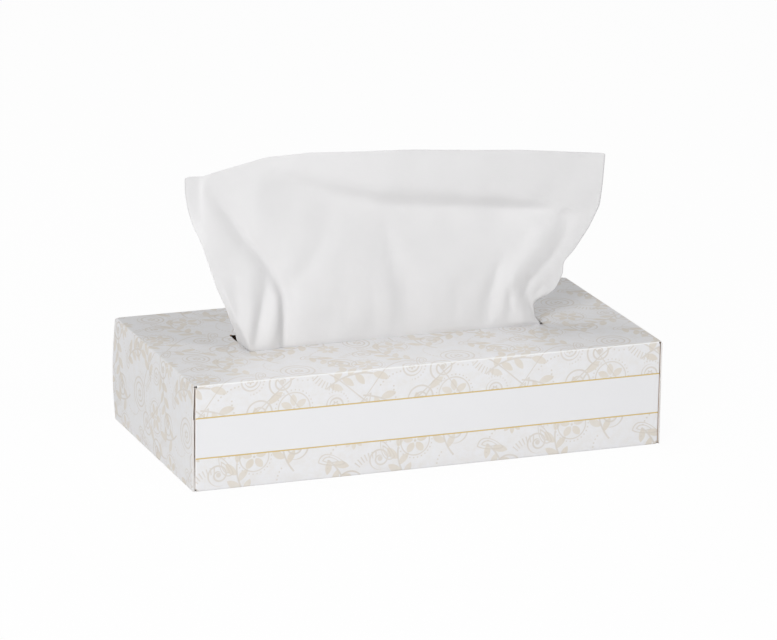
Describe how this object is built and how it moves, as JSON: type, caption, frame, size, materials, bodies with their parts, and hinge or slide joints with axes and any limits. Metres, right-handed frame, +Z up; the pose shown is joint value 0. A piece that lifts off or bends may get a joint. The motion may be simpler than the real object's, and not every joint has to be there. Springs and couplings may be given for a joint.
{
  "type": "tissue box",
  "caption": "Flat printed paperboard tissue box with a long dispensing opening in its top and one gathered tissue standing out of it.",
  "frame": {"origin": "middle of the carton's underside, on the surface the box stands on", "axes": "+X along the box's length, -Y towards its front panel, +Z up"},
  "size_m": [0.23, 0.116, 0.139],
  "materials": {
    "printed_board": "clay-coated white board with a pale printed pattern outside, plain brown board inside",
    "glue": "dried carton adhesive, hidden between flaps",
    "stack_tissue": "white soft two-ply tissue, folded",
    "sheet_tissue": "white soft two-ply tissue, gathered"
  },
  "bodies": {
    "root": {"carton": "printed_board", "seam_glue": "glue", "left_end_glue": "glue", "right_end_glue": "glue", "tissue_stack": "stack_tissue", "top_tissue": "sheet_tissue"}
  },
  "joints": []
}
